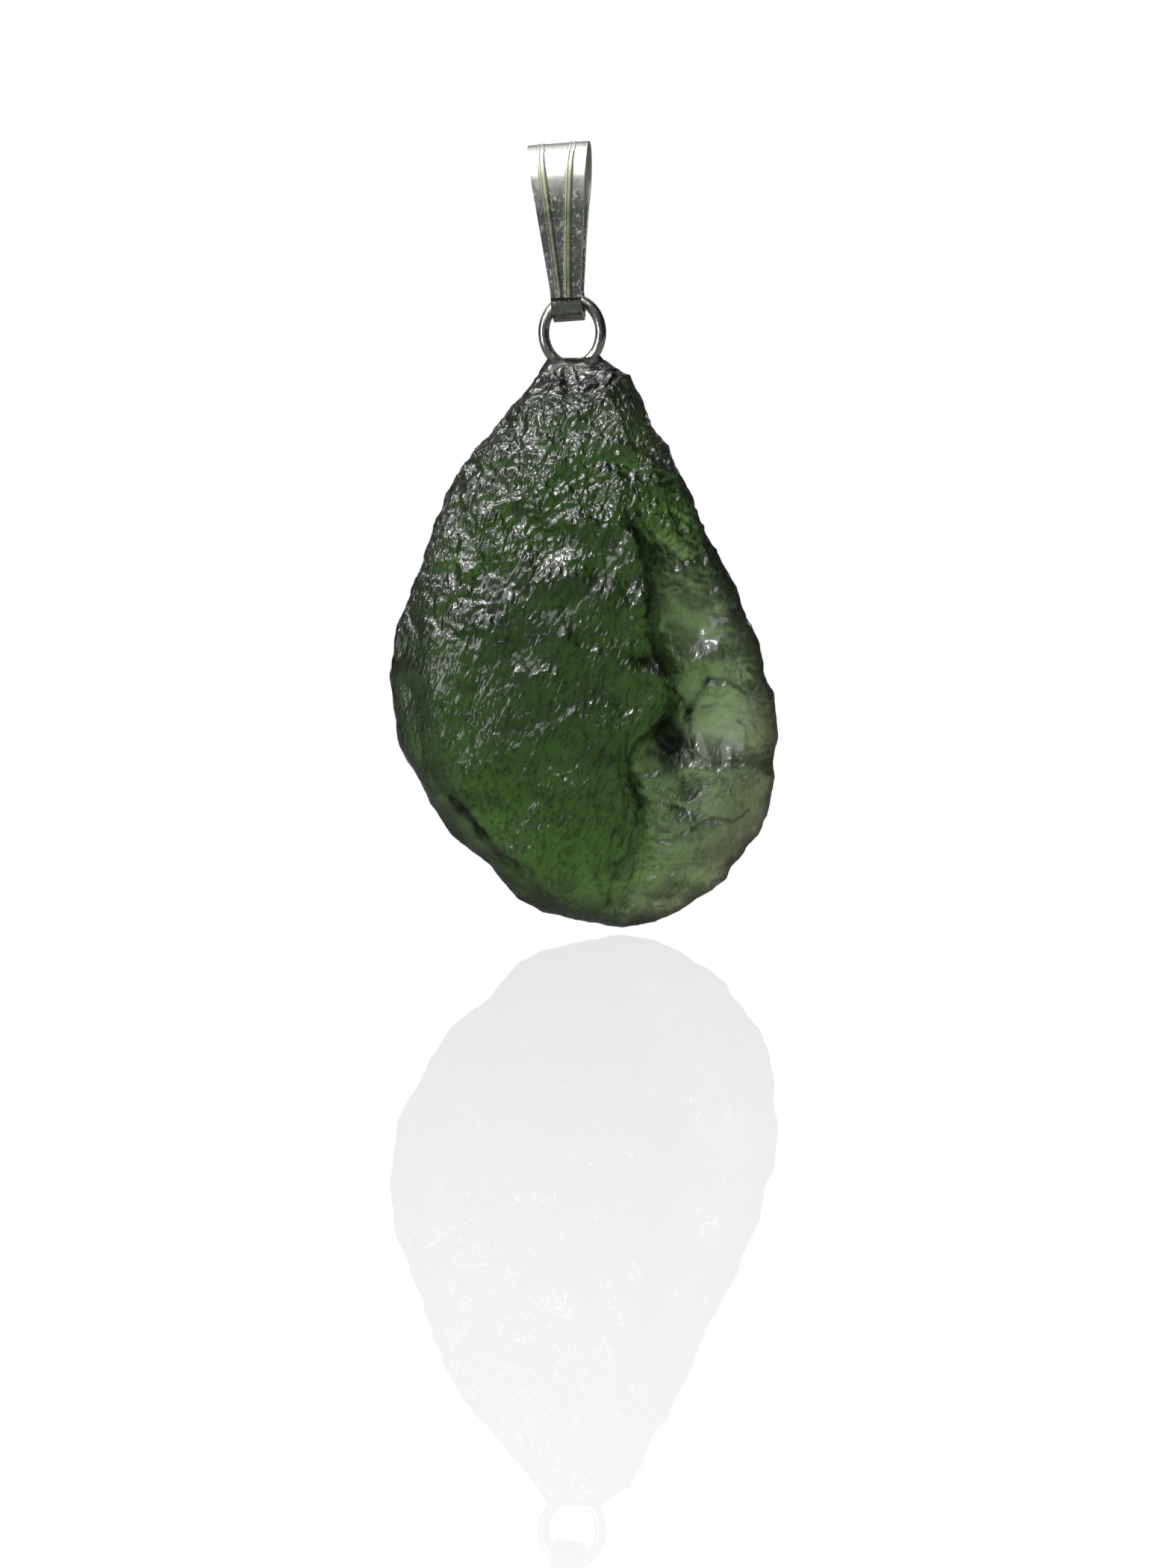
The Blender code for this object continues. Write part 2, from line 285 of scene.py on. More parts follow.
def millimetres(tree):
    """The place on the surface in millimetres."""
    coords = node(tree, "ShaderNodeTexCoord")
    return scaled(tree, coords.outputs["Object"], (1000, 1000, 1000))


def grain(tree, place, scale, detail=2.0, roughness=0.5, distortion=0.0):
    made = node(tree, "ShaderNodeTexNoise")
    feed(tree, made.inputs["Vector"], place)
    made.inputs["Scale"].default_value = scale
    made.inputs["Detail"].default_value = detail
    made.inputs["Roughness"].default_value = roughness
    made.inputs["Distortion"].default_value = distortion
    return made.outputs[0]


def cells(tree, place, scale):
    made = node(tree, "ShaderNodeTexVoronoi")
    feed(tree, made.inputs["Vector"], place)
    made.inputs["Scale"].default_value = scale
    return made.outputs["Distance"]


def new_material(name):
    material = bpy.data.materials.new(name)
    material.use_nodes = True
    tree = material.node_tree
    return material, tree, tree.nodes["Principled BSDF"]


def raised(tree, shader, height, coated=False):
    """Turns a height in millimetres into the shader's normal, and its coat's too if it has one."""
    made = node(tree, "ShaderNodeBump")
    made.inputs["Strength"].default_value = 1.0
    made.inputs["Distance"].default_value = MM
    feed(tree, made.inputs["Height"], height)
    tree.links.new(made.outputs["Normal"], shader.inputs["Normal"])
    if coated:
        tree.links.new(made.outputs["Normal"], shader.inputs["Coat Normal"])


def absorbing(tree, colour, density):
    volume = node(tree, "ShaderNodeVolumeAbsorption")
    volume.inputs["Color"].default_value = (*colour, 1.0)
    volume.inputs["Density"].default_value = density
    tree.links.new(volume.outputs[0], tree.nodes["Material Output"].inputs["Volume"])


# Finishes

# Tints of the skin on the stone's front, over the colour of the glass itself. The furrow and rim tints are
# painted shade; the darkest tint is dirt and painted shade in cracks and pits.
PLATEAU_TINT = (0.40, 0.70, 0.16, 1)
PLATEAU_FURROW_SHADE_TINT = (0.085, 0.165, 0.035, 1)
TERRACE_TINT = (0.97, 1.0, 0.88, 1)
TERRACE_FURROW_SHADE_TINT = (0.56, 0.60, 0.47, 1)
EDGE_TINT = (0.54, 0.68, 0.45, 1)
VEIN_TINT = (0.02, 0.03, 0.012, 1)
RIM_SHADE_TINT = (0.14, 0.155, 0.12, 1)
CRUST_TINT = (0.30, 0.29, 0.24, 1)
# Near-black for the cracks and pits: dirt in them, and painted shade.
DIRT_AND_SHADE_TINT = (0.003, 0.004, 0.002, 1)

# How high the finest relief stands, in millimetres, and how its strokes lean.
PIT_HEIGHT = 0.09
CRINKLE_HEIGHT = 0.15
STROKE_HEIGHT = 0.16
STROKE_LEAN = math.radians(-22)
STONE_HALF = (10.8, 14.6)  # half the stone's width and height, in millimetres

# The bail's silver where it isn't clean, with painted shade below the fold and a painted highlight on the
# ribs.
BLOTCHED_SHADE_SILVER = (0.34, 0.38, 0.35, 1)
LOWER_SHADE_SILVER = (0.50, 0.53, 0.50, 1)
CHIPPED_SILVER = (0.82, 0.86, 0.82, 1)
RIB_HIGHLIGHT_SILVER = (1.0, 1.0, 0.70, 1)
SEAM_SHADE = (0.12, 0.12, 0.11, 1)

CLEAR_RESIN_TINT = (0.62, 0.56, 0.47, 1)
DUSTY_RESIN_TINT = (0.12, 0.09, 0.06, 1)


def worn_metal_group():
    """Fine scratches and tarnish, for the ring and the bail."""
    if "Worn metal" in bpy.data.node_groups:
        return bpy.data.node_groups["Worn metal"]
    group = bpy.data.node_groups.new("Worn metal", "ShaderNodeTree")
    face = group.interface
    for name, kind, default in (
        ("Place", "NodeSocketVector", None),
        ("Clean colour", "NodeSocketColor", (0.9, 0.89, 0.86, 1)),
        ("Tarnish colour", "NodeSocketColor", (0.2, 0.18, 0.16, 1)),
        ("Tarnish", "NodeSocketFloat", 0.3),
        ("Scratches", "NodeSocketFloat", 1.0),
        ("Polish", "NodeSocketFloat", 0.14),
    ):
        socket = face.new_socket(name, in_out="INPUT", socket_type=kind)
        if default is not None:
            socket.default_value = default
    face.new_socket("Colour", in_out="OUTPUT", socket_type="NodeSocketColor")
    face.new_socket("Roughness", in_out="OUTPUT", socket_type="NodeSocketFloat")
    face.new_socket("Height", in_out="OUTPUT", socket_type="NodeSocketFloat")
    given = node(group, "NodeGroupInput").outputs
    result = node(group, "NodeGroupOutput").inputs
    clouds = grain(group, given["Place"], 0.9, detail=4.0, roughness=0.62)
    blotches = ramp(group, clouds, 0.48, 0.72)
    stained = sums(group, "MULTIPLY", blotches, given["Tarnish"], clamp=True)
    feed(group, result["Colour"], mixed(group, stained, given["Clean colour"], given["Tarnish colour"]))
    lines = []
    for turn, scale in ((0.35, (16.0, 16.0, 1.4)), (-0.9, (1.6, 14.0, 13.0)), (1.25, (13.0, 2.0, 2.0))):
        rotated = turned(group, given["Place"], turn)
        hair = grain(group, scaled(group, rotated, scale), 1.0, detail=3.0, roughness=0.6)
        lines.append(ramp(group, hair, 0.63, 0.70))
    scratched = sums(group, "MAXIMUM", sums(group, "MAXIMUM", lines[0], lines[1]), lines[2])
    scratched = sums(group, "MULTIPLY", scratched, given["Scratches"])
    feed(group, result["Height"], sums(group, "MULTIPLY", scratched, -0.0016))
    dull = sums(group, "MULTIPLY_ADD", clouds, 0.16, sums(group, "SUBTRACT", given["Polish"], 0.08))
    dull = sums(group, "MULTIPLY_ADD", scratched, 0.12, dull)
    feed(group, result["Roughness"], sums(group, "MULTIPLY_ADD", stained, 0.2, dull))
    return group


def placed_group(tree, group, **values):
    made = node(tree, "ShaderNodeGroup", node_tree=group)
    for key, value in values.items():
        feed(tree, made.inputs[key.replace("_", " ")], value)
    return made.outputs


def bail_silver(settings):
    """Brushed along the strip, dented by handling, tarnished in blotches and darker along the seam, with
    painted shade below the fold and a painted highlight on the ribs.
    """
    material, tree, shader = new_material("bail silver")
    place = millimetres(tree)
    worn = placed_group(
        tree, worn_metal_group(), Place=place, Clean_colour=(*settings.silver_colour, 1),
        Tarnish_colour=(*settings.tarnish_colour, 1), Tarnish=0.6, Scratches=0.6, Polish=0.15,
    )
    shader.inputs["Metallic"].default_value = 1.0
    z = apart(tree, place)[2]
    brushed = grain(tree, scaled(tree, place, (18.0, 18.0, 1.0)), 1.0, detail=3.0, roughness=0.6)
    dents = grain(tree, place, 1.5, detail=2.0)
    height = sums(tree, "MULTIPLY_ADD", brushed, 0.0022, worn["Height"])
    raised(tree, shader, sums(tree, "MULTIPLY_ADD", dents, 0.012, height))
    streaks = grain(tree, scaled(tree, place, (7.0, 7.0, 0.45)), 1.0, detail=3.0, roughness=0.6)
    reached = sums(tree, "MULTIPLY_ADD", streaks, 2.4, z)
    clouds = grain(tree, scaled(tree, place, (1.6, 1.6, 1.1)), 1.0, detail=4.0, roughness=0.65)
    blotches = ramp(tree, clouds, 0.38, 0.62)
    # Painted shade below the fold, with a streaky edge: darker in blotches and greyer all over.
    weathered = sums(tree, "MULTIPLY", blotches, ramp(tree, reached, 0.0, -1.6, 0.0, 0.75))
    colour = mixed(tree, weathered, worn["Colour"], BLOTCHED_SHADE_SILVER)
    lower_shade = sums(tree, "MULTIPLY", ramp(tree, reached, 0.1, -0.9), 0.55)
    colour = mixed(tree, lower_shade, colour, LOWER_SHADE_SILVER)
    specks = grain(tree, scaled(tree, place, (5.0, 5.0, 3.2)), 1.0, detail=3.0, roughness=0.7)
    chips = sums(tree, "MULTIPLY", ramp(tree, specks, 0.56, 0.63), ramp(tree, reached, -0.6, -2.2, 0.0, 0.45))
    colour = mixed(tree, chips, colour, CHIPPED_SILVER)
    # Painted highlight: the ribs' crests are painted a bright cream.
    rib = painted(tree, "rib")
    colour = mixed(tree, rib, colour, RIB_HIGHLIGHT_SILVER)
    over_seam = ramp(tree, z, EYE_Z + 0.33, EYE_Z + 0.26)
    seam = sums(tree, "MULTIPLY", ramp(tree, z, EYE_Z - 0.01, EYE_Z + 0.11), over_seam)
    tree.links.new(mixed(tree, seam, colour, SEAM_SHADE), shader.inputs["Base Color"])
    rough = sums(tree, "MULTIPLY_ADD", ramp(tree, reached, -3.0, -0.9), 0.20, worn["Roughness"])
    rough = sums(tree, "MULTIPLY_ADD", sums(tree, "MAXIMUM", rib, chips), 0.36, rough)
    tree.links.new(rough, shader.inputs["Roughness"])
    return material


def ring_silver(settings):
    """Drawn wire, still fairly bright."""
    material, tree, shader = new_material("ring silver")
    place = millimetres(tree)
    worn = placed_group(
        tree, worn_metal_group(), Place=place, Clean_colour=(*settings.silver_colour, 1),
        Tarnish_colour=(*settings.tarnish_colour, 1), Tarnish=0.55, Scratches=0.5, Polish=0.09,
    )
    shader.inputs["Metallic"].default_value = 1.0
    dents = grain(tree, place, 2.2, detail=1.0)
    raised(tree, shader, sums(tree, "MULTIPLY_ADD", dents, 0.02, worn["Height"]))
    tree.links.new(worn["Colour"], shader.inputs["Base Color"])
    tree.links.new(worn["Roughness"], shader.inputs["Roughness"])
    return material


def etched_height(tree, place, slant, smooth):
    """The finest relief in millimetres: pits, crinkles and, on the left flank, slanting strokes."""
    x, _, z = apart(tree, place)
    top = ramp(tree, sums(tree, "MULTIPLY_ADD", x, -0.45, z), 3.0, 9.5)
    patches = ramp(tree, grain(tree, place, 0.50, detail=1.0), 0.38, 0.62, 0.35, 1.25)
    strength = sums(tree, "MULTIPLY", smooth, sums(tree, "MULTIPLY_ADD", top, 0.70, 0.50))
    strength = sums(tree, "MULTIPLY", strength, patches)
    pits = sums(tree, "POWER", cells(tree, scaled(tree, slant, (1.0, 1.0, 0.7)), 2.9), 2.0)
    crinkle = grain(tree, scaled(tree, slant, (3.3, 3.3, 1.1)), 1.0, detail=1.0, distortion=0.6)
    strokes = grain(tree, scaled(tree, slant, (4.6, 4.6, 0.9)), 1.0, detail=1.0, distortion=0.5)
    flank = sums(tree, "MULTIPLY", ramp(tree, x, -2.5, -6.5), ramp(tree, z, -9.0, -2.0))
    height = sums(tree, "MULTIPLY", pits, PIT_HEIGHT)
    height = sums(tree, "MULTIPLY_ADD", crinkle, CRINKLE_HEIGHT, height)
    height = sums(tree, "MULTIPLY_ADD", sums(tree, "MULTIPLY", strokes, flank), STROKE_HEIGHT, height)
    return sums(tree, "MULTIPLY", height, strength)


def moldavite_glass(settings):
    """Clear green glass with fine etched pits, wet-looking at the top and dull at the rim, with painted shade
    in its furrows and along its rim, and dirt and painted shade in its cracks.
    """
    material, tree, shader = new_material("moldavite glass")
    shader.inputs["Transmission Weight"].default_value = 1.0
    shader.inputs["Metallic"].default_value = 0.0
    shader.inputs["IOR"].default_value = settings.glass_index
    shader.inputs["Specular IOR Level"].default_value = 0.25
    shader.inputs["Coat Roughness"].default_value = 0.065
    absorbing(tree, settings.glass_colour, settings.glass_density)
    local = node(tree, "ShaderNodeVectorMath", operation="SUBTRACT")
    feed(tree, local.inputs[0], millimetres(tree))
    local.inputs[1].default_value = STONE_MIDDLE
    place = local.outputs[0]
    slant = turned(tree, place, STROKE_LEAN)
    x = apart(tree, place)[0]
    outwards = length(tree, scaled(tree, place, (1 / STONE_HALF[0], 0.0, 1 / STONE_HALF[1])))
    calm, terrace, rim, dirt_and_shade = [painted(tree, name) for name in ("calm", "terrace", "rim", "dirt_and_shade")]
    smooth = ramp(tree, calm, 0.1, 0.8, 1.0, 0.12)
    unworn = sums(tree, "MULTIPLY_ADD", calm, -0.75, 1.0)
    clouds = grain(tree, place, 0.55, detail=3.0)
    fine = grain(tree, scaled(tree, slant, (4.0, 4.0, 1.3)), 1.0, detail=3.0, roughness=0.65, distortion=0.6)
    raised(tree, shader, etched_height(tree, place, slant, smooth), coated=True)

    skin = mixed(tree, terrace, PLATEAU_TINT, TERRACE_TINT)
    deep = mixed(tree, terrace, PLATEAU_FURROW_SHADE_TINT, TERRACE_FURROW_SHADE_TINT)
    # Painted shade in the fine furrows of the crinkled skin.
    furrow_shade = sums(tree, "MULTIPLY", ramp(tree, fine, 0.56, 0.36), smooth)
    tint = mixed(tree, furrow_shade, skin, deep)
    edge = sums(tree, "MULTIPLY", ramp(tree, outwards, 0.78, 0.96), ramp(tree, x, 5.0, -1.0))
    edge = sums(tree, "MULTIPLY", sums(tree, "MULTIPLY", edge, unworn), 0.85)
    tint = mixed(tree, edge, tint, EDGE_TINT)
    winding = grain(
        tree, scaled(tree, place, (1.0, 1.0, 0.9)), 0.60, detail=2.0, roughness=0.45, distortion=1.0,
    )
    vein = ramp(tree, sums(tree, "ABSOLUTE", sums(tree, "SUBTRACT", winding, 0.5)), 0.022, 0.002)
    vein = sums(tree, "MULTIPLY", vein, sums(tree, "MULTIPLY_ADD", terrace, 0.3, 0.3))
    vein = sums(tree, "MULTIPLY", vein, ramp(tree, calm, 0.2, 0.9, 1.0, 0.3))
    tint = mixed(tree, vein, tint, VEIN_TINT)
    # Painted shade: the rim darkens where the surface turns to the side, broken up by fine noise.
    worn = sums(tree, "MULTIPLY", unworn, ramp(tree, fine, 0.25, 0.60, 1.0, 0.7))
    tint = mixed(tree, sums(tree, "MULTIPLY", rim, worn), tint, RIM_SHADE_TINT)
    film = sums(tree, "MULTIPLY", ramp(tree, outwards, 0.84, 1.0), ramp(tree, clouds, 0.25, 0.52))
    film = sums(tree, "MULTIPLY", film, ramp(tree, x, -2.0, 6.0))
    crust = mixed(tree, ramp(tree, fine, 0.38, 0.56), CRUST_TINT, (*settings.rind_colour, 1))
    tint = mixed(tree, film, tint, crust)
    # Cracks and pits are painted near-black: dirt in them, and painted shade.
    tree.links.new(mixed(tree, dirt_and_shade, tint, DIRT_AND_SHADE_TINT), shader.inputs["Base Color"])

    # The coat is thinner on the painted-dark cracks and pits.
    feed(tree, shader.inputs["Coat Weight"], sums(tree, "MULTIPLY_ADD", dirt_and_shade, -0.9, 1.0))
    dull = sums(tree, "MULTIPLY_ADD", clouds, 0.05, sums(tree, "MULTIPLY_ADD", terrace, 0.12, 0.265))
    feed(tree, shader.inputs["Roughness"], sums(tree, "MULTIPLY_ADD", film, 0.12, dull))
    return material


def clear_resin(settings):
    """Set resin with a smooth skin, brownish where it is thick."""
    material, tree, shader = new_material("clear resin")
    shader.inputs["Transmission Weight"].default_value = 1.0
    shader.inputs["Metallic"].default_value = 0.0
    shader.inputs["IOR"].default_value = 1.5
    shader.inputs["Specular IOR Level"].default_value = 0.1
    shader.inputs["Coat Weight"].default_value = 0.3
    shader.inputs["Coat Roughness"].default_value = 0.06
    absorbing(tree, settings.resin_colour, settings.resin_density)
    place = millimetres(tree)
    clouds = grain(tree, place, 1.3, detail=2.0)
    feed(tree, shader.inputs["Roughness"], ramp(tree, clouds, 0.35, 0.7, 0.28, 0.36))
    dust = ramp(tree, grain(tree, place, 3.1, detail=3.0), 0.50, 0.68)
    feed(tree, shader.inputs["Base Color"], mixed(tree, dust, CLEAR_RESIN_TINT, DUSTY_RESIN_TINT))
    ripples = grain(tree, place, 1.1, detail=1.0)
    specks = cells(tree, place, 2.6)
    height = sums(tree, "MULTIPLY_ADD", ripples, 0.10, sums(tree, "MULTIPLY", specks, 0.02))
    raised(tree, shader, height, coated=True)
    return material


# Stone

# Places on the stone are x and z in millimetres from its middle.
LEDGE = (
    (2.4, 12.0), (2.7, 8.0), (3.6, 5.6), (3.8, 4.3), (3.6, 1.0), (4.6, -0.4), (4.6, -2.5),
    (2.4, -4.4), (1.8, -6.0), (2.8, -8.2), (2.4, -11.0), (1.4, -14.0),
)
FLANGE = ((-8.5, -7.3), (-7.2, -8.3), (-6.1, -9.9), (-5.3, -10.9), (-3.5, -11.9))
FLANGE_FLAT = ((-8.6, -8.1), (-7.7, -9.2), (-6.7, -10.4))
# The darkness of each crack below is painted: dirt in it, and painted shade.
CRACKS = (  # corners, width and depth in millimetres, darkness
    (((2.2, 9.2), (2.8, 7.8), (3.7, 5.6), (3.8, 4.3), (3.5, 3.0), (3.8, 1.2), (4.7, -0.2)), 0.24, 0.10, 0.75),
    (
        ((2.3, -3.8), (2.6, -6.2), (3.2, -8.0), (2.7, -9.6), (2.5, -10.9), (1.6, -11.5), (1.2, -13.7)),
        0.16, 0.12, 0.7,
    ),
    (((1.9, -4.5), (2.1, -6.5), (2.3, -8.9), (1.9, -10.4)), 0.12, 0.06, 0.55),
    (((1.4, -7.0), (1.6, -9.0), (1.3, -11.0)), 0.10, 0.05, 0.4),
    (((-8.2, -7.7), (-7.1, -8.6), (-6.1, -9.9), (-5.3, -10.9), (-3.8, -11.8)), 0.22, 0.20, 0.9),
    (((6.3, -9.1), (7.3, -8.6), (8.6, -8.9), (9.6, -8.3)), 0.12, 0.07, 0.5),
    (((3.9, -7.1), (5.1, -7.6), (6.2, -7.5)), 0.12, 0.07, 0.45),
    (((7.2, -0.7), (6.81, -1.23), (6.33, -1.93), (5.89, -2.68), (5.71, -4.0), (6.3, -5.0)), 0.21, 0.16, 0.9),
    (((7.2, -0.7), (8.4, -0.75), (9.3, -1.3), (9.6, -2.1)), 0.14, 0.06, 0.6),
    (((6.8, -2.2), (7.5, -1.9), (8.3, -2.2)), 0.12, 0.03, 0.45),
    (((8.9, -2.9), (9.4, -3.5), (9.5, -4.4)), 0.12, 0.03, 0.45),
    (((4.9, -0.9), (5.6, -1.7), (5.9, -2.7)), 0.18, 0.12, 0.75),
    (((6.1, -5.1), (7.4, -5.4), (9.0, -5.3)), 0.16, 0.04, 0.55),
)
# The darkness of each pit below is painted: dirt in it, and painted shade.
PITS = (  # place, reach and depth in millimetres, darkness
    ((4.9, -4.1), (1.0, 1.4), 0.14, 1.0),
    ((3.7, 0.6), (0.9, 0.45), 0.2, 0.6),
    ((6.1, -6.9), (0.42, 0.55), 0.25, 0.5),
    ((5.1, -2.0), (0.45, 0.45), 0.2, 0.5),
)
# Each of these is a place and its reach.
WINDOW = ((7.8, -3.1), (2.0, 2.0))
OVAL = ((6.4, 2.5), (1.8, 2.2))
SPARKS = (((4.0, -2.7), (0.9, 1.1)), ((5.6, 6.4), (0.9, 1.3)))
BACK_FLAT = ((-0.3, -0.6), (3.6, 4.0))
THIN_BY_WINDOW = ((7.4, -3.4), (3.4, 3.6))
THIN_BELOW = ((6.0, -9.0), (2.8, 3.5))


def near_line(x, z, line):
    """Distance from a place to a line of corners, and on which side it is."""
    best, side = 1e9, 1.0
    for (ax, az), (bx, bz) in zip(line, line[1:]):
        dx, dz = bx - ax, bz - az
        share = min(max(((x - ax) * dx + (z - az) * dz) / (dx * dx + dz * dz), 0.0), 1.0)
        gap = math.hypot(x - ax - share * dx, z - az - share * dz)
        if gap < best:
            best = gap
            side = 1.0 if dx * (z - az) - dz * (x - ax) > 0 else -1.0
    return best, side


def cups(place, scale, stretch=(1.0, 1.0, 1.0)):
    """Cupped pits with sharp edges between them, about -0.3 to 0.5."""
    near = noise.voronoi(stretched(place, stretch) * scale)[0][0]
    return min(near * near, 0.8) - 0.28


def ridged(place, scale, stretch):
    """Sharp ridges of height 1, with valleys between them."""
    return 1.0 - 2.0 * abs(noise.noise(stretched(place, stretch) * scale))


def front_relief(place):
    """Height of the front's relief in shares of the pit depth, and how clear and how calm the glass is."""
    x, z = place.x, place.z
    bent = place + 0.5 * drift(place * 0.5)
    ledge, side = near_line(bent.x, bent.z, LEDGE)
    right = smoothstep(-0.3, 0.9, side * ledge) * smoothstep(13.0, 9.0, z)
    top = smoothstep(5.5, 10.5, z + 0.35 * abs(x))
    left = smoothstep(-3.6, -7.0, x) * smoothstep(-2.0, 4.0, z)
    pitted = top + 0.75 * left * (1 - top)
    quiet = (1 - pitted) * (1 - right)
    terrace = right * (1 - pitted)
    window = bump(x, z, *WINDOW)
    oval = bump(x, z, *OVAL)
    gap, _ = near_line(x, z, FLANGE_FLAT)
    flat = min(1.4 * math.exp(-((gap / 0.75) ** 2)), 1.0)

    height = pitted * (0.80 * cups(bent, 0.85) + 0.80 * cups(bent, 1.7) + 0.36 * cups(bent, 2.7))
    height += left * (0.30 * cups(bent, 1.4, (1.3, 1.0, 0.6)) + 0.16 * ridged(bent, 1.0, (2.3, 1.0, 0.7)))
    patch = 0.6 + 0.9 * smoothstep(-0.1, 0.3, noise.noise(place * 0.4 + Vector((5, 1, 2))))
    shallow = 0.10 * cups(bent, 1.2, (1.2, 1.0, 0.7)) + 0.18 * cups(bent, 2.3, (1.25, 1.0, 0.6))
    height += quiet * patch * shallow
    height += quiet * 0.10 * ridged(bent, 1.0, (2.2, 1.0, 0.4))
    folds = 0.24 * ridged(bent, 0.6, (1.0, 1.0, 0.9)) + 0.26 * cups(bent, 1.5) + 0.1 * cups(bent, 2.6)
    height += terrace * folds
    height += terrace * 0.26 * ridged(bent, 1.0, (0.45, 1.0, 1.5))
    sparks = max(bump(x, z, *spot) for spot in SPARKS)
    height += sparks * (0.45 * cups(bent, 1.9, (1.2, 1.0, 0.8)) + 0.35 * cups(bent, 3.1))
    height *= (1 - 0.92 * window) * (1 - 0.75 * oval) * (1 - 0.8 * flat)
    height -= 0.7 * terrace + 0.2 * window
    uneven = 0.7 + 0.5 * noise.noise(place * 0.8)
    height -= 0.45 * math.exp(-((ledge / 0.4) ** 2)) * smoothstep(12.0, 9.0, z) * uneven
    flange, _ = near_line(x, z, FLANGE)
    height -= 0.8 * math.exp(-((flange / 0.3) ** 2)) * (0.7 + 0.6 * noise.noise(place * 1.1))

    ragged = 1.3 * noise.noise(place * 0.7) + 0.7 * noise.noise(place * 1.9)
    clear = smoothstep(-0.8, 1.6, side * ledge + ragged) * smoothstep(12.0, 8.0, z)
    clear *= 1 - 0.65 * smoothstep(-9.0, -13.0, z)
    return height, max(clear * (1 - pitted), window, 0.9 * flat), max(window, 0.75 * oval, 0.9 * flat)


def front_marks(place):
    """Depth in millimetres of the front's cracks and single pits, and how dark they are painted: dirt in them
    and painted shade.
    """
    x = place.x + 0.22 * noise.noise(place * 0.9) + 0.14 * noise.noise(place * 2.6)
    z = place.z + 0.22 * noise.noise(place * 0.9 + Vector((7, 3, 1)))
    z += 0.14 * noise.noise(place * 2.6 + Vector((2, 8, 5)))
    depth = 0.0
    dark = 0.0
    for line, width, deep, shade in CRACKS:
        gap, _ = near_line(x, z, line)
        if gap < 4 * width:
            share = math.exp(-((gap / width) ** 2)) * (0.88 + 0.8 * noise.noise(place * 1.3))
            depth += deep * share
            dark = max(dark, shade * share)
    for at, reach, deep, shade in PITS:
        share = min(1.5 * bump(x, z, at, reach), 1.0)
        depth += deep * share
        dark = max(dark, shade * share)
    return depth, 1 - (1 - min(max(dark, 0.0), 1.0)) ** 2


def back_relief(place):
    """Height of the back's relief in shares of the pit depth."""
    bent = place + 0.6 * drift(place * 0.45)
    height = 0.55 * cups(bent, 0.85, (1.0, 1.0, 0.8)) + 0.35 * cups(bent, 1.9)
    height += 0.2 * ridged(bent, 0.5, (1, 1, 0.4))
    flat = bump(place.x, place.z, *BACK_FLAT)
    thin = bump(place.x, place.z, *THIN_BY_WINDOW) + 0.6 * bump(place.x, place.z, *THIN_BELOW)
    return height * (1 - 0.95 * flat) - 1.8 * thin


def refine_front(mesh):
    """Splits the faces that look to the front, which carry the finest relief."""
    bm = bmesh.new()
    bm.from_mesh(mesh)
    edges = {edge for face in bm.faces if face.normal.y < -0.3 for edge in face.edges}
    bmesh.ops.subdivide_edges(bm, edges=list(edges), cuts=1, use_grid_fill=True, smooth=1.0)
    bm.to_mesh(mesh)
    bm.free()


def make_stone(settings, material):
    """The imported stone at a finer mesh, whole under the resin, with the etched relief worked in."""
    bm = bmesh.new()
    bm.from_mesh(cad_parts["stone"].data)
    low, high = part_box("adhesive")
    middle = Vector(((low.x + high.x) / 2 + 0.1 * MM, 0.0, low.z + 0.60 * MM))
    half = Vector(((high.x - low.x) * 0.50, 1.06 * MM, 0.70 * MM))
    tip = bmesh.ops.create_uvsphere(bm, u_segments=32, v_segments=16, radius=1.0)["verts"]
    for vert in tip:
        vert.co = middle + Vector([vert.co[k] * half[k] for k in range(3)])
    rough = bpy.data.objects.new("rough_stone", bpy.data.meshes.new("rough_stone"))
    bm.to_mesh(rough.data)
    bm.free()
    bpy.context.scene.collection.objects.link(rough)
    remesh = rough.modifiers.new("Even mesh", "REMESH")
    remesh.mode = "VOXEL"
    remesh.voxel_size = settings.mesh_size
    soften = rough.modifiers.new("Soften facets", "SMOOTH")
    soften.factor = 0.5
    soften.iterations = 16
    mesh = applied(rough)
    bpy.data.objects.remove(rough)
    refine_front(mesh)
    mesh.name = "moldavite_stone"
    deep = settings.pit_depth / MM
    dark = [0.0] * len(mesh.vertices)
    clear = [0.0] * len(mesh.vertices)
    calm = [0.0] * len(mesh.vertices)
    # rim: how far the surface turns to the side; it roughens the rim and carries the rim's painted shade.
    rim = [smoothstep(0.78, 0.22, abs(entry.vector.y)) for entry in mesh.vertex_normals]
    places = [vert.co.copy() for vert in mesh.vertices]
    normals = [entry.vector.copy() for entry in mesh.vertex_normals]
    for index, (vert, co, normal) in enumerate(zip(mesh.vertices, places, normals)):
        place = co / MM - STONE_MIDDLE
        front = smoothstep(0.35, -0.35, normal.y)
        below_tip = smoothstep(18.6, 17.2, place.z)
        height = 0.0
        if front > 0:
            cut, dark[index] = front_marks(place)
            relief, clear[index], calm[index] = front_relief(place)
            height += front * (deep * relief - abs(normal.y) * cut)
            dark[index] *= front
        if front < 1:
            clear[index] += (1 - front) * (1 - clear[index])
            height += (1 - front) * deep * back_relief(place)
        height *= 0.6 + 0.4 * abs(normal.y)
        height += 0.34 * deep * rim[index] * (cups(place, 0.75) + 0.6 * cups(place, 1.6))
        height *= 0.3 + 0.7 * below_tip
        vert.co = co + normal * height * MM
    # The first share is how dark the cracks and pits are painted: dirt in them and painted shade.
    for name, shares in (("dirt_and_shade", dark), ("terrace", clear), ("calm", calm), ("rim", rim)):
        mesh.attributes.new(name, "FLOAT", "POINT").data.foreach_set("value", shares)
    mesh.materials.clear()
    mesh.materials.append(material)
    mesh.shade_smooth()
    stone = bpy.data.objects.new("moldavite_stone", mesh)
    bpy.context.scene.collection.objects.link(stone)
    return stone


# Ring


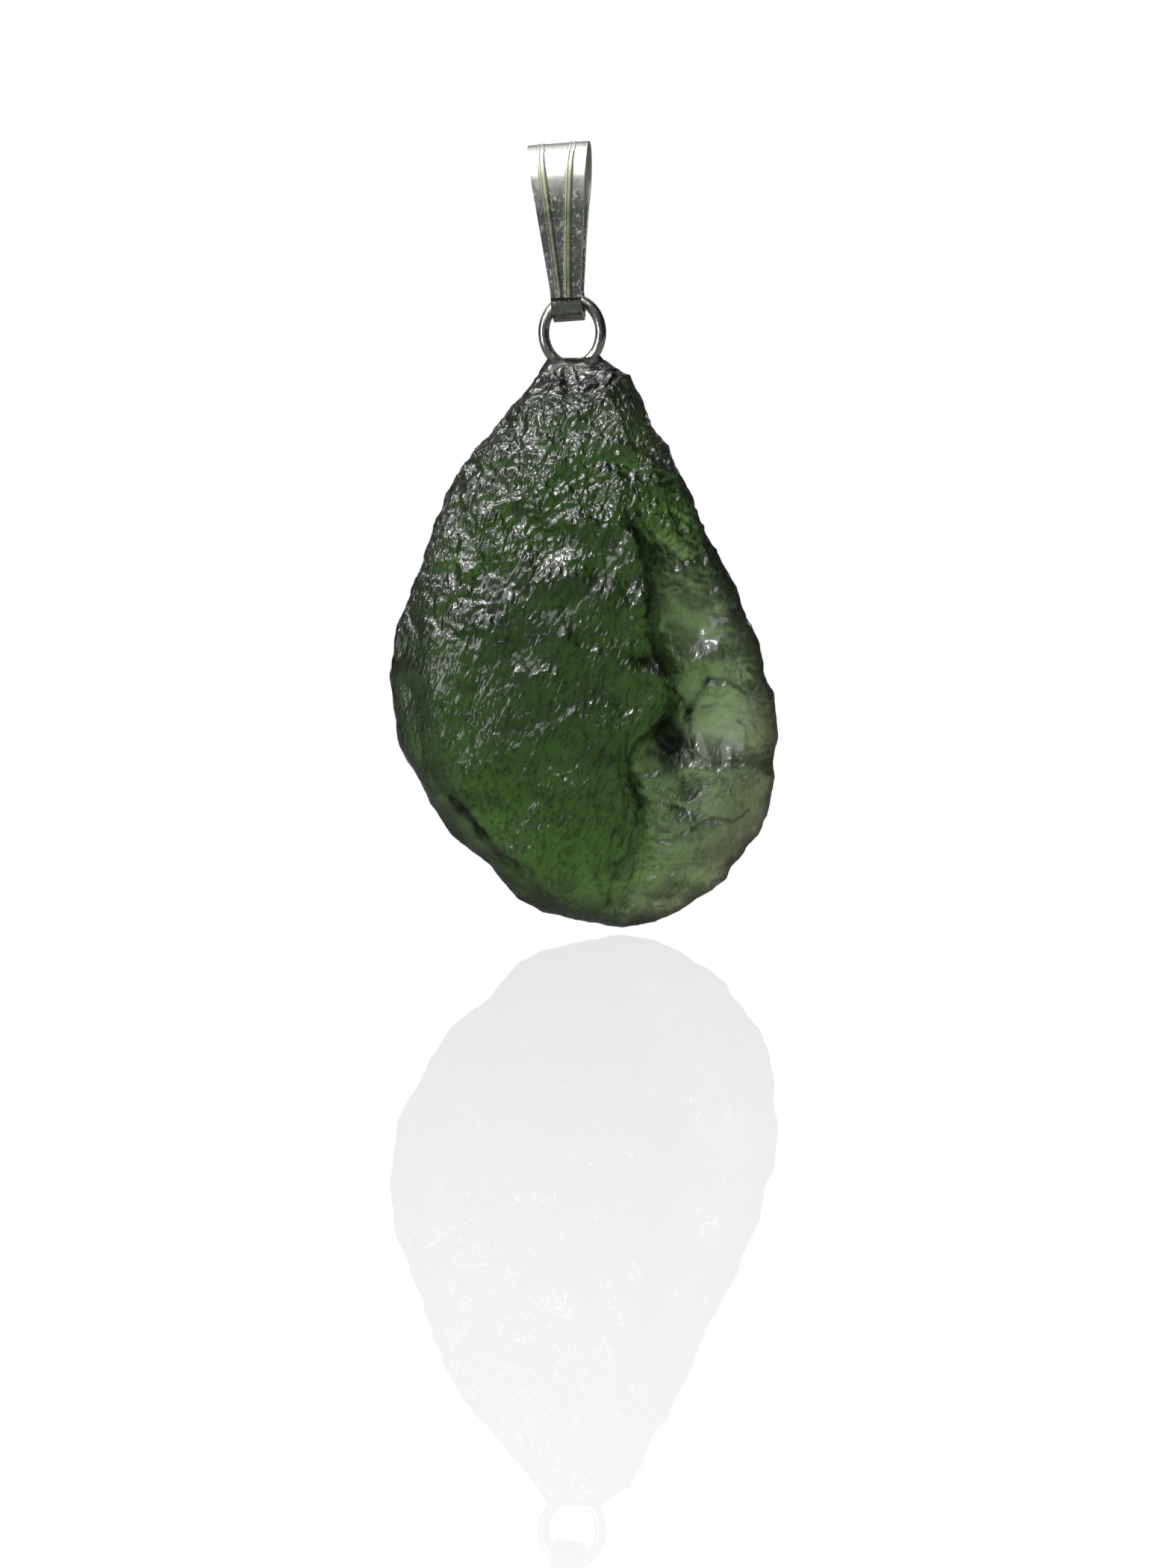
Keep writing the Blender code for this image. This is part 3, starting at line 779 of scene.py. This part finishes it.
def make_ring(material):
    """Round wire bent to a closed oval, from the box of its solid."""
    low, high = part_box("ring")
    middle = (low + high) / 2
    wire = (high.y - low.y) / 2
    across = (high.x - low.x) / 2 - wire
    up = (high.z - low.z) / 2 - wire
    steps, round_steps = 160, 28
    bm = bmesh.new()
    rows = []
    for i in range(steps):
        turn = math.tau * i / steps
        centre = Vector((across * math.cos(turn), 0.0, up * math.sin(turn)))
        outward = Vector((up * math.cos(turn), 0.0, across * math.sin(turn))).normalized()
        wobble = 1 + 0.012 * noise.noise(Vector((math.cos(turn), math.sin(turn), 0.3)) * 2.5)
        row = []
        for k in range(round_steps):
            side = math.tau * k / round_steps
            offset = outward * math.cos(side) + Vector((0, 1, 0)) * math.sin(side)
            row.append(bm.verts.new(middle + centre + offset * wire * wobble))
        rows.append(row)
    for i in range(steps):
        for k in range(round_steps):
            a, b = rows[i], rows[(i + 1) % steps]
            bm.faces.new((a[k], b[k], b[(k + 1) % round_steps], a[(k + 1) % round_steps]))
    bmesh.ops.recalc_face_normals(bm, faces=bm.faces)
    return mesh_object("wire_ring", bm, material)


# Bail


def bail_profile():
    """The middle of the sheet from the side, as (y, z) in millimetres: up the back leg, down the front."""
    half_depth = (FOLD_DEPTH - SHEET) / 2
    fold_z = SHEET - FOLD_RISE
    eye_radius = (EYE_BORE + SHEET) / 2
    side = Vector((half_depth, fold_z))
    eye = Vector((0, EYE_Z))
    pinch = Vector((PINCH, EYE_Z + PINCH_ABOVE_EYE))
    shoulder = Vector((math.cos(EYE_SHOULDER), math.sin(EYE_SHOULDER))) * eye_radius + eye
    round_eye = Vector((math.sin(EYE_SHOULDER), -math.cos(EYE_SHOULDER)))
    down = Vector((0.0, -1.0))
    fold = []
    for i in range(41):
        turn = math.radians(90 * i / 40)
        fold.append(Vector((half_depth * math.sin(turn), fold_z + (FOLD_RISE - SHEET / 2) * math.cos(turn))))
    leg = interpolate_bezier(side, side + 0.6 * down, pinch - 4.6 * down, pinch, 60)
    neck = interpolate_bezier(pinch, pinch + 0.35 * down, shoulder - 0.35 * round_eye, shoulder, 14)
    back = fold + leg[1:] + neck[1:]
    for i in range(1, 31):
        turn = EYE_SHOULDER - (EYE_SHOULDER + math.radians(90)) * i / 30
        back.append(Vector((math.cos(turn), math.sin(turn))) * eye_radius + eye)
    eye_side = Vector((eye_radius, EYE_Z))
    front = fold + interpolate_bezier(side, side + 0.9 * down, eye_side - 1.6 * down, eye_side, 130)[1:]
    for i in range(1, 40):
        turn = -math.radians(90) * i / 40
        front.append(Vector((math.cos(turn), math.sin(turn))) * eye_radius + eye)
    return back[:0:-1] + [Vector((-p.x, p.y)) for p in front]


def rib_shape(across):
    """Height of a rib over the sheet at a share of its width from its middle, -0.5 to 0.5."""
    bead = 0.7 * math.exp(-((across / 0.15) ** 2))
    grooves = -1.0 * math.exp(-(((abs(across) - 0.31) / 0.11) ** 2))
    return bead + grooves


def rib_middle(rib, down, half_width):
    at_fold, at_eye = rib
    return (at_fold + (at_eye - at_fold) * down) * half_width


def bail_columns(down, half_width, rib):
    """Where the sheet's columns lie across it: close together on the ribs, which they follow down."""
    places = [-half_width]
    for ends in RIBS:
        middle = rib_middle(ends, down, half_width)
        start, before = middle - 0.55 * rib, places[-1]
        places += [before + (start - before) * k / 9 for k in range(1, 10)]
        places += [start + 1.1 * rib * k / 18 for k in range(1, 19)]
    before = places[-1]
    places += [before + (half_width - before) * k / 9 for k in range(1, 10)]
    return places


def seam_depth(z):
    """How far the sheet steps back at the seam, where the strip's end meets the curl, and below it."""
    if z > EYE_Z + 0.02:
        return 0.0
    return 0.11 * math.exp(-(((z - EYE_Z + 0.03) / 0.17) ** 2)) * smoothstep(EYE_Z + 0.02, EYE_Z - 0.03, z)


def make_bail(settings, material):
    """The folded, fluted strip, with softly rounded edges."""
    profile = bail_profile()
    rows = len(profile)
    narrow_z = EYE_Z + PINCH_ABOVE_EYE / 2
    groove = settings.groove_depth / MM
    rib = settings.rib_width / MM
    hang = Matrix.Rotation(BAIL_LEAN, 3, "Y") @ Matrix.Rotation(BAIL_TURN, 3, "Z")
    bm = bmesh.new()
    # The rib share carries the painted highlight on the ribs' crests.
    crest = bm.verts.layers.float.new("rib")
    grid = []
    for row, (y, z) in enumerate(profile):
        along = (profile[(row + 1) % rows] - profile[row - 1]).normalized()
        down = min(max(z / narrow_z, 0.0), 1.0)
        half_width = (FOLD_WIDTH + (EYE_WIDTH - FOLD_WIDTH) * down) / 2
        pressed = groove * smoothstep(EYE_Z + 0.02, EYE_Z + 0.30, z) * smoothstep(2.6, -2.2, z)
        line = []
        for x in bail_columns(down, half_width, rib):
            shares = [(x - rib_middle(ends, down, half_width)) / rib for ends in RIBS]
            height = sum(pressed * rib_shape(share) for share in shares)
            if y < 0:
                height -= seam_depth(z)
            dent = 0.010 * noise.noise(Vector((x * 0.9, y * 0.5, z * 0.45)) + Vector((4, 2, 9)))
            height += dent * smoothstep(EYE_Z + 0.8, EYE_Z + 2.0, z)
            spot = Vector((x, y - along.y * height, z + along.x * height)) * MM
            line.append(bm.verts.new(hang @ spot))
            line[-1][crest] = pressed / groove * max(math.exp(-((share / 0.26) ** 2)) for share in shares)
        grid.append(line)
    for row in range(rows):
        a, b = grid[row], grid[(row + 1) % rows]
        for column in range(len(a) - 1):
            bm.faces.new((a[column], b[column], b[column + 1], a[column + 1]))
    bmesh.ops.recalc_face_normals(bm, faces=bm.faces)
    bail = mesh_object("fluted_bail", bm, material)
    sheet = bail.modifiers.new("Sheet", "SOLIDIFY")
    sheet.thickness = SHEET * MM
    sheet.offset = 0.0
    sheet.use_even_offset = True
    edge = bail.modifiers.new("Rounded edges", "BEVEL")
    edge.width = 0.06 * MM
    edge.segments = 3
    edge.limit_method = "ANGLE"
    edge.angle_limit = math.radians(55)
    return bail


# Resin


def make_resin(material):
    """A smooth mound of resin over the tip, which sinks into the stone and climbs the wire's two legs."""
    low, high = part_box("adhesive")
    middle = Vector(((low.x + high.x) / 2 + 0.16 * MM, (low.y + high.y) / 2, high.z - 1.22 * MM))
    half = Vector(((high.x - low.x) / 2 + 0.24 * MM, (high.y - low.y) / 2 - 0.12 * MM, 1.08 * MM))
    legs = ((-1.5, 0.30, 0.42), (1.25, 0.42, 0.45))  # place across, height climbed and reach, in millimetres
    bm = bmesh.new()
    bmesh.ops.create_uvsphere(bm, u_segments=112, v_segments=64, radius=1.0)
    for vert in bm.verts:
        across = abs(vert.co.x) ** 2.6 + abs(vert.co.y) ** 2.2 + abs(vert.co.z) ** 2.0
        square = vert.co * across ** (-1 / 2.3)
        place = Vector([square[k] * half[k] / MM for k in range(3)])
        for x, height, reach in legs:
            climb = bump(place.x, place.y, (x, 0.0), (reach, reach))
            place.z += smoothstep(0.0, 0.9, square.z) * height * climb
        place += 0.07 * drift(place * 0.8)
        vert.co = middle + place * MM
    return mesh_object("set_resin", bm, material)


# Stage

LIT_PLACE = Vector((1.5, 0.0, -26.0)) * MM
CAMERA_X = 1.684 * MM
CAMERA_Z = -37.407 * MM
FLOOR_GAP = 0.13 * MM
FLOOR_REACH = 2.5
LAMPS = (  # name, direction, distance, width and height in metres, setting, its share, colour
    ("high front", (-0.12, -0.71, 0.69), 0.36, 0.24, 0.38, "soft_strength", 1.0, (1.0, 1.0, 0.98)),
    ("overhead", (0.0, 0.1, 1.0), 0.36, 0.22, 0.20, "soft_strength", 0.5, (1.0, 1.0, 0.98)),
    ("key", (-0.26, -0.80, 0.60), 0.34, 0.08, 0.07, "key_strength", 0.55, (1.0, 1.0, 0.97)),
    ("high left", (-0.60, -0.30, 0.74), 0.34, 0.09, 0.08, "key_strength", 0.75, (1.0, 1.0, 0.98)),
    ("high", (-0.02, -0.44, 0.90), 0.34, 0.08, 0.06, "key_strength", 0.40, (1.0, 1.0, 0.98)),
    ("side", (-0.77, -0.61, 0.20), 0.34, 0.11, 0.30, "side_strength", 1.0, (1.0, 1.0, 1.0)),
)

# What the pendant mirrors and what shines through it, round the front's view.
WHITE = (1, 1, 1, 1)
BLACK = (0, 0, 0, 1)
ROOM_RIGHT = (0.016, 0.016, 0.015, 1)
ROOM_BEHIND = (0.022, 0.021, 0.020, 1)
ROOM_ABOVE = (0.20, 0.205, 0.20, 1)
THROUGH_SIDES = (0.16, 0.165, 0.16, 1)
THROUGH_BACK = (1.1, 1.1, 1.07, 1)
FLOOR_THROUGH = (0.30, 0.32, 0.28, 1)
FLOOR_MIRRORED = (0.11, 0.12, 0.11, 1)


def soft_light(name, direction, distance, width, height, radiance, colour):
    """A plain rectangular light that faces the pendant. radiance is how bright its face is."""
    light = bpy.data.lights.new(name, "AREA")
    light.shape = "RECTANGLE"
    light.size = width
    light.size_y = height
    light.energy = radiance * math.pi * width * height
    light.color = colour
    lamp = bpy.data.objects.new(name, light)
    towards = Vector(direction).normalized()
    lamp.location = LIT_PLACE + towards * distance
    lamp.rotation_euler = towards.to_track_quat("Z", "Y").to_euler()
    lamp.visible_camera = False
    bpy.context.scene.collection.objects.link(lamp)


def make_world(settings):
    """A white backdrop all round behind, and a dim room in front for the gloss."""
    world = bpy.data.worlds.new("soft studio")
    world.use_nodes = True
    bpy.context.scene.world = world
    tree = world.node_tree
    backdrop = tree.nodes["Background"]
    coords = node(tree, "ShaderNodeTexCoord")
    x, y, z = apart(tree, coords.outputs["Generated"])
    path = node(tree, "ShaderNodeLightPath")
    gloss = mixed(tree, ramp(tree, x, 0.0, 0.6), (*settings.room_colour, 1), ROOM_RIGHT)
    gloss = mixed(tree, ramp(tree, y, -0.1, 0.5), gloss, ROOM_BEHIND)
    above = sums(tree, "MULTIPLY", ramp(tree, z, 0.1, 0.6), ramp(tree, x, 0.75, 0.1))
    gloss = mixed(tree, above, gloss, ROOM_ABOVE)
    gloss = mixed(tree, ramp(tree, y, 0.955, 0.968), gloss, WHITE)
    depth = sums(tree, "MAXIMUM", y, sums(tree, "MULTIPLY", y, -0.9))
    through = mixed(tree, ramp(tree, depth, 0.2, 0.98), THROUGH_SIDES, THROUGH_BACK)
    level = ramp(tree, sums(tree, "ABSOLUTE", z), 0.12, 0.62, 1.0, 0.45)
    sideways = sums(tree, "MULTIPLY_ADD", x, -0.75, 0.98)
    through = mixed(tree, sums(tree, "MULTIPLY", level, sideways), BLACK, through)
    seen = mixed(tree, path.outputs["Is Transmission Ray"], gloss, through)
    seen = mixed(tree, path.outputs["Is Camera Ray"], seen, WHITE)
    feed(tree, backdrop.inputs["Color"], seen)
    backdrop.inputs["Strength"].default_value = 1.0


def make_floor():
    """A white floor just below the stone, with a faint gloss that fades far away and towards the camera."""
    low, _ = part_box("stone")
    bm = bmesh.new()
    bmesh.ops.create_grid(bm, x_segments=12, y_segments=12, size=FLOOR_REACH)
    material = bpy.data.materials.new("pale floor")
    material.use_nodes = True
    tree = material.node_tree
    tree.nodes.remove(tree.nodes["Principled BSDF"])
    facing = node(tree, "ShaderNodeLayerWeight").outputs["Facing"]
    near = ramp(tree, length(tree, millimetres(tree)), 260.0, 500.0, 0.28, 0.0)
    share = sums(tree, "MULTIPLY", sums(tree, "POWER", facing, 7.3), near)
    path = node(tree, "ShaderNodeLightPath")
    shaded = mixed(tree, path.outputs["Is Transmission Ray"], WHITE, FLOOR_THROUGH)
    white = node(tree, "ShaderNodeEmission")
    feed(tree, white.inputs["Color"], mixed(tree, path.outputs["Is Glossy Ray"], shaded, FLOOR_MIRRORED))
    gloss = node(tree, "ShaderNodeBsdfGlossy")
    gloss.inputs["Roughness"].default_value = 0.0
    gloss.inputs["Color"].default_value = WHITE
    blend = node(tree, "ShaderNodeMixShader")
    feed(tree, blend.inputs[0], share)
    tree.links.new(white.outputs[0], blend.inputs[1])
    tree.links.new(gloss.outputs[0], blend.inputs[2])
    tree.links.new(blend.outputs[0], tree.nodes["Material Output"].inputs["Surface"])
    floor = mesh_object("pale_floor", bm, material)
    floor.location.z = low.z - FLOOR_GAP


def make_camera(settings):
    camera = bpy.data.objects.new("camera", bpy.data.cameras.new("camera"))
    camera.data.lens = settings.camera_lens
    camera.data.sensor_width = 36.0
    camera.data.clip_start = 1 * MM
    camera.data.clip_end = 20.0
    camera.location = (CAMERA_X, -settings.camera_distance, CAMERA_Z)
    camera.rotation_euler = (math.radians(90), 0, 0)
    bpy.context.scene.collection.objects.link(camera)
    bpy.context.scene.camera = camera


# Operators


class PENDANT_OT_stage(Operator):
    """Makes the floor, the backdrop, the soft lights and the camera"""

    bl_idname = "pendant.stage"
    bl_label = "Stage"

    def execute(self, context):
        settings = context.scene.pendant_stage
        context.scene.view_settings.view_transform = "Standard"
        make_world(settings)
        make_floor()
        make_camera(settings)
        for name, direction, distance, width, height, setting, share, colour in LAMPS:
            radiance = getattr(settings, setting) * share
            soft_light(name, direction, distance, width, height, radiance, colour)
        return {"FINISHED"}


class PENDANT_OT_stone(Operator):
    """Makes the etched moldavite stone"""

    bl_idname = "pendant.stone"
    bl_label = "Stone"

    def execute(self, context):
        settings = context.scene.pendant_stone
        stone = make_stone(settings, moldavite_glass(settings))
        triangles = sum(len(face.vertices) - 2 for face in stone.data.polygons)
        if triangles > TRIANGLE_LIMIT:
            raise RuntimeError(f"the stone has {triangles} triangles: raise its mesh size")
        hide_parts("stone")
        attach(stone, SWING_BODY)
        return {"FINISHED"}


class PENDANT_OT_resin(Operator):
    """Makes the set resin round the ring's foot"""

    bl_idname = "pendant.resin"
    bl_label = "Resin"

    def execute(self, context):
        resin = make_resin(clear_resin(context.scene.pendant_resin))
        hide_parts("adhesive")
        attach(resin, SWING_BODY)
        return {"FINISHED"}


class PENDANT_OT_ring(Operator):
    """Makes the oval wire ring"""

    bl_idname = "pendant.ring"
    bl_label = "Ring"

    def execute(self, context):
        ring = make_ring(ring_silver(context.scene.pendant_silver))
        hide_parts("ring")
        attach(ring, SWING_BODY)
        return {"FINISHED"}


class PENDANT_OT_bail(Operator):
    """Makes the fluted bail"""

    bl_idname = "pendant.bail"
    bl_label = "Bail"

    def execute(self, context):
        settings = context.scene.pendant_silver
        bail = make_bail(settings, bail_silver(settings))
        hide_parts("bail")
        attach(bail, BAIL_BODY)
        return {"FINISHED"}


OPERATORS = (PENDANT_OT_stage, PENDANT_OT_stone, PENDANT_OT_resin, PENDANT_OT_ring, PENDANT_OT_bail)
SETTINGS = {
    "pendant_stone": StoneSettings,
    "pendant_silver": SilverSettings,
    "pendant_resin": ResinSettings,
    "pendant_stage": StageSettings,
}


class VIEW3D_PT_pendant(Panel):
    """Lists what makes the pendant and its stage"""

    bl_label = "Raw moldavite pendant"
    bl_space_type = "VIEW_3D"
    bl_region_type = "UI"
    bl_category = "Pendant"

    def draw(self, context):
        for operator in OPERATORS:
            self.layout.operator(operator.bl_idname)
        for key, group in SETTINGS.items():
            box = self.layout.box()
            box.label(text=group.__name__.replace("Settings", ""))
            for name in group.__annotations__:
                box.prop(getattr(context.scene, key), name)


CLASSES = (*SETTINGS.values(), *OPERATORS, VIEW3D_PT_pendant)


def register():
    for cls in CLASSES:
        bpy.utils.register_class(cls)
    for key, group in SETTINGS.items():
        setattr(bpy.types.Scene, key, PointerProperty(type=group))


def unregister():
    for key in SETTINGS:
        delattr(bpy.types.Scene, key)
    for cls in reversed(CLASSES):
        bpy.utils.unregister_class(cls)


def main():
    register()
    bpy.ops.pendant.stage()
    bpy.ops.pendant.stone()
    bpy.ops.pendant.resin()
    bpy.ops.pendant.ring()
    bpy.ops.pendant.bail()


if __name__ == "__main__":
    main()
